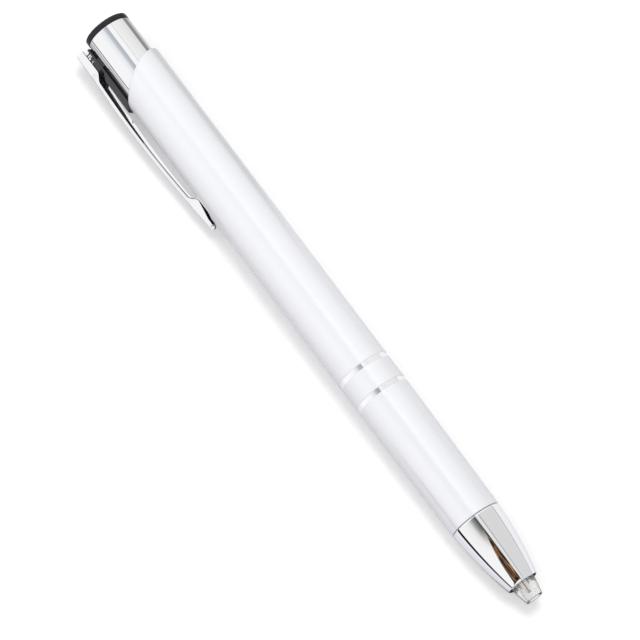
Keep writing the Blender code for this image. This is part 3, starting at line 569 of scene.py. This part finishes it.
def make_spring(material):
    """Wound wire with a close turn at each end."""
    low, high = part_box("return_spring")
    close = (2 * WIRE_RADIUS + COIL_GAP) * MM
    pitch = (high[0] - low[0] - 2 * WIRE_RADIUS * MM - 2 * close) / COIL_TURNS
    bm = bmesh.new()
    ring = bmesh.ops.create_circle(bm, segments=WIRE_SIDES, radius=WIRE_RADIUS * MM)["verts"]
    bmesh.ops.rotate(bm, verts=ring, cent=(0, 0, 0), matrix=Matrix.Rotation(math.pi / 2, 3, "X"))
    bmesh.ops.translate(bm, verts=ring, vec=(high[0] - WIRE_RADIUS * MM, 0, COIL_RADIUS * MM))
    end = bm.verts[:] + bm.edges[:]
    for turns, rise in ((1, close), (COIL_TURNS, pitch), (1, close)):
        end = bmesh.ops.spin(bm, geom=end, cent=(0, 0, 0), axis=(1, 0, 0), dvec=(-rise / COIL_STEPS, 0, 0),
                             angle=FULL_TURN * turns, steps=turns * COIL_STEPS)["geom_last"]
    bmesh.ops.holes_fill(bm, edges=[edge for edge in bm.edges if edge.is_boundary], sides=WIRE_SIDES)
    bmesh.ops.recalc_face_normals(bm, faces=bm.faces)
    wire = finished("wound_spring", bm, material, "light_unit", "return_spring")
    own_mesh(wire)


def dress_solids():
    """Gives the solids that stay visible their own finishes."""
    natural = moulded_finish("undyed_plastic", (0.70, 0.69, 0.65), (0.78, 0.77, 0.73), 0.4)
    brass = metal_finish("drawn_brass", (0.70, 0.50, 0.20), (0.80, 0.62, 0.30), 0.18, (0.1, 1.0, 1.0))
    can = metal_finish("cell_can", (0.62, 0.62, 0.63), (0.74, 0.74, 0.75), 0.2)
    resin = moulded_finish("phosphor_resin", (0.85, 0.78, 0.35), (0.92, 0.88, 0.5), 0.2)
    finishes = {
        moulded_finish("charcoal_plastic", (0.032, 0.032, 0.035), (0.055, 0.055, 0.06), 0.28): (
            "plunger_core",),
        natural: ("cam_body", "cam_rotor", "battery_carrier", "carrier_cap"),
        brass: ("refill_tube", "positive_contact", "negative_contact"),
        can: ("button_cell_1", "button_cell_2", "button_cell_3"),
        resin: ("led_chip_1", "led_chip_2"),
        moulded_finish("solder_resist", (0.03, 0.22, 0.09), (0.06, 0.30, 0.13), 0.35): ("led_board",),
        point_finish(): ("refill_point",),
        metal_finish("ground_carbide", (0.26, 0.26, 0.28), (0.34, 0.34, 0.36), 0.1): ("writing_ball",),
    }
    for material, node_names in finishes.items():
        for node in node_names:
            frame["nodes"][node].data.materials[0] = material


def floor_card(nodes, x, y):
    """What polished metal sees of the floor: an emitted card with a dark line on the clip's side and painted
    reflections of darker bands, growing darker towards the pen, with painted shadow of the pen in strips
    close to it.
    """
    far_edge = (-0.040, -0.034)
    by_nose = nodes.ramp(x, 0.018, 0.034)
    by_plunger = 1 - nodes.ramp(x, -0.066, -0.060)
    by_rear, by_tail = 1 - nodes.ramp(x, -0.035, -0.02), 1 - nodes.ramp(x, -0.03, -0.02)
    dark = nodes.ramp(y, *far_edge) * by_plunger + nodes.ramp(y, -0.11, -0.07) * by_nose
    dark = dark * (1 - nodes.ramp(y, -0.030, -0.027))
    edge = nodes.blend(nodes.ramp(y, -0.027, -0.017), (0.93, 0.93, 0.94), (0.45, 0.45, 0.48))
    card = nodes.blend(nodes.ramp(y, -0.030, -0.007), (0.95, 0.95, 0.965), (0.78, 0.78, 0.84))
    layers = (
        (nodes.ramp(y, -0.029, -0.026) * by_plunger, edge),
        (1 - nodes.ramp(y, *far_edge), grey(1.0)),
        (dark, (0.015, 0.015, 0.018)),
        (nodes.ramp(y, 0.006, 0.018), (0.93, 0.93, 0.95)),
        (nodes.strip(y, (0.0085, 0.0265), (0.05, 0.5)) * by_rear, (0.29, 0.30, 0.285)),
        # Painted shadow of the pen as metal sees it: grey strips beside and under the pen and a near-black
        # strip right beneath it.
        (nodes.strip(y, (-0.020, -0.016), (-0.0095, -0.0085)) * by_tail, (0.52, 0.52, 0.58)),
        (nodes.strip(y, (-0.0085, -0.0055), (0.0055, 0.0075)), (0.55, 0.55, 0.60)),
        (nodes.strip(y, (-0.0050, -0.0040), (0.0040, 0.0050)), (0.03, 0.03, 0.033)),
    )
    for share, colour in layers:
        card = nodes.blend(share, card, colour)
    return card


def floor_finish():
    """Plain pale paint; metal sees a card in its place, and the clear tip sees an emitted floor with painted
    shade, darker on the clip's side.
    """
    material, nodes = new_finish("pale_floor")
    x, y = nodes.coordinate("X"), nodes.coordinate("Y") - AXIS_Y
    tooth = nodes.noise(400.0)
    paint = nodes.add("ShaderNodeBsdfDiffuse", inputs={"Color": nodes.blend(tooth, grey(0.85), grey(0.87))})
    lit = nodes.add("ShaderNodeAddShader", inputs={0: paint, 1: nodes.emission(grey(1.0), FLOOR_LIFT)})
    bounce = nodes.add("ShaderNodeBsdfDiffuse", inputs={"Color": (0.60, 0.60, 0.615, 1.0)})
    surface = nodes.mix_shaders(nodes.ray_is("seen"), bounce, lit)
    surface = nodes.mix_shaders(nodes.ray_is("mirrored"), surface, nodes.emission(floor_card(nodes, x, y)))
    # Painted shade for the clear tip: the floor seen through it is darker on the clip's side of the axis.
    pale = nodes.blend(nodes.ramp(y, -0.004, 0.003), (0.70, 0.69, 0.68), (0.95, 0.94, 0.925))
    surface = nodes.mix_shaders(nodes.ray_is("through"), surface, nodes.emission(pale))
    nodes.add("ShaderNodeOutputMaterial", inputs={"Surface": surface})
    return material


def make_floor():
    """The floor, which drops a little towards the pen's rear."""
    bm = bmesh.new()
    bmesh.ops.create_grid(bm, x_segments=1, y_segments=1, size=FLOOR_REACH)
    bmesh.ops.rotate(bm, verts=bm.verts, cent=(along(FLOOR_CONTACT), 0, 0),
                     matrix=Matrix.Rotation(-FLOOR_SLOPE, 3, "Y"))
    mesh = bpy.data.meshes.new("floor")
    bm.to_mesh(mesh)
    bm.free()
    mesh.materials.append(floor_finish())
    floor = bpy.data.objects.new("floor", mesh)
    bpy.context.scene.collection.objects.link(floor)


def panel_ring(nodes, turn, stops):
    """Panels about the pen, from colours or plain greys at angles from -180 to 180 degrees."""
    places = [((degrees + 180.0) / 360.0, colour if isinstance(colour, tuple) else grey(colour))
              for degrees, colour in stops]
    return nodes.add("ShaderNodeValToRGB", {"stops": places}, {0: (turn / math.pi + 1) / 2})


def brown_embers(nodes, x, turn):
    """Dark brown streaks, drawn out along the pen, that the nose mirrors."""
    drawn = nodes.add("ShaderNodeCombineXYZ", inputs={0: x * 7.0 + 2.6, 1: turn * 7.0})
    streaks = nodes.add("ShaderNodeTexNoise", inputs={
        "Vector": drawn, "Scale": 1.0, "Detail": 0.0, "Distortion": 0.5})
    return nodes.add("ShaderNodeValToRGB", {"stops": [
        (0.36, (0.012, 0.011, 0.011)), (0.49, (0.03, 0.022, 0.018)), (0.54, (0.42, 0.20, 0.07)),
        (0.59, (0.36, 0.21, 0.13)), (0.64, (0.04, 0.025, 0.02)), (0.72, (0.016, 0.016, 0.018))]},
        {0: streaks})


def tent_panels(nodes, x, turn):
    """What polished metal sees of the studio: a tent of long panels that run along the pen."""
    sky_side = [(-179, 0.9), (-92, 1.0)]
    rear = panel_ring(nodes, turn, sky_side + [
        (-50, 1.0), (-28, (0.86, 0.88, 0.91)), (-19, (0.59, 0.62, 0.66)), (-8, (0.48, 0.51, 0.56)),
        (-3, (0.46, 0.50, 0.55)), (-1.5, 1.0), (20, 1.0), (21.5, (0.50, 0.54, 0.58)), (24, 0.94),
        (60, (0.88, 0.88, 0.87)), (90, (0.80, 0.80, 0.78)), (179, 0.8)])
    strips = [
        (-5, (0.03, 0.03, 0.032)), (-3, (0.80, 0.83, 0.82)), (8, (0.84, 0.86, 0.85)), (12, 0.30),
        (14.5, 0.74), (60, 0.73), (86, 0.75), (88, 0.33), (92, 0.33), (179, 0.8)]
    shaded = panel_ring(nodes, turn, sky_side + [
        (-55, 0.93), (-40, 0.80), (-25, 0.33), (-10, 0.12)] + strips)
    plain = panel_ring(nodes, turn, sky_side + [(-9, 0.98)] + strips)
    front = nodes.blend(nodes.ramp(x, -0.04, 0.12), shaded, plain)
    widening = nodes.ramp(turn * (180 / math.pi) + x * 190.0, -12.0, -7.0)
    reach = widening * (1 - nodes.ramp(turn, math.radians(-4.5), math.radians(-3.0)))
    reach = reach * nodes.strip(x, (-0.08, -0.03), (0.33, 0.38))
    front = nodes.blend(reach, front, brown_embers(nodes, x, turn))
    panels = nodes.blend(nodes.ramp(x, -0.23, -0.20), rear, front)
    return nodes.blend(nodes.ramp(x, -0.39, -0.36), grey(1.0), panels)


def light_studio():
    """Even white light from a dome and a round key lamp."""
    world = bpy.data.worlds.new("studio")
    bpy.context.scene.world = world
    world.use_nodes = True
    nodes = Nodes(world.node_tree)
    sky = nodes.add("ShaderNodeTexCoord", output=0)
    x, y, z = (nodes.add("ShaderNodeSeparateXYZ", inputs={0: sky}, output=i) for i in range(3))
    turn = nodes.add("ShaderNodeMath", {"operation": "ARCTAN2"}, {0: y, 1: z})
    dome = nodes.blend(nodes.ramp(z, 0.0, 1.0), (0.15, 0.15, 0.154), (0.99, 0.99, 0.994))
    lean = nodes.add("ShaderNodeCombineXYZ", inputs={i: 1.0 - DOME_LEAN * y for i in range(3)})
    dome = nodes.add("ShaderNodeMix", {"data_type": "RGBA", "blend_type": "MULTIPLY"},
                     {0: 1.0, 6: dome, 7: lean}, output=2)
    shown = nodes.blend(nodes.ray_is("mirrored"), dome, tent_panels(nodes, x, turn))
    shown = nodes.blend(nodes.ray_is("through"), shown, (0.92, 0.91, 0.89))
    shine = nodes.add("ShaderNodeBackground", inputs={"Color": shown, "Strength": 1.0})
    nodes.add("ShaderNodeOutputWorld", inputs={"Surface": shine})
    lamp = bpy.data.lights.new("key", "AREA")
    lamp.shape, lamp.size, lamp.energy = "DISK", LAMP_SIZE, LAMP_WATTS
    key = bpy.data.objects.new("key", lamp)
    key.location = LAMP_PLACE
    key.rotation_euler = (-LAMP_PLACE).to_track_quat("-Z", "Y").to_euler()
    key.visible_glossy = key.visible_transmission = False
    bpy.context.scene.collection.objects.link(key)


def place_camera():
    flat = math.cos(CAMERA_ELEVATION)
    back = Vector((math.sin(CAMERA_AZIMUTH) * flat, -math.cos(CAMERA_AZIMUTH) * flat,
                   math.sin(CAMERA_ELEVATION)))
    aim = Vector((CAMERA_SHIFT[0], AXIS_Y + CAMERA_SHIFT[1], AXIS_Z))
    camera = bpy.data.objects.new("camera", bpy.data.cameras.new("camera"))
    camera.location = aim + back * CAMERA_DISTANCE
    camera.rotation_euler = back.to_track_quat("Z", "Y").to_euler()
    camera.data.angle = CAMERA_ANGLE
    camera.data.clip_end = CAMERA_REACH
    bpy.context.scene.collection.objects.link(camera)
    bpy.context.scene.camera = camera


make_barrel(lacquer_finish())
make_nose(chrome_finish("nose_plating", 0.03))
make_tip(clear_finish())
make_sleeve(chrome_finish("sleeve_plating", 0.03))
make_disc(moulded_finish("disc_plastic", (0.012, 0.012, 0.013), (0.024, 0.024, 0.026), 0.2, sheen=0.25))
make_clip(chrome_finish("clip_plating", 0.05),
          # A darker copy of the plating, painted shade for the inside of the clip's toe.
          metal_finish("clip_toe_painted_shade", (0.05, 0.05, 0.05), (0.16, 0.16, 0.16), 0.3))
make_spring(metal_finish("spring_wire", (0.52, 0.52, 0.54), (0.64, 0.64, 0.66), 0.2))
dress_solids()
make_floor()
light_studio()
place_camera()
bpy.context.scene.view_settings.view_transform = "Standard"
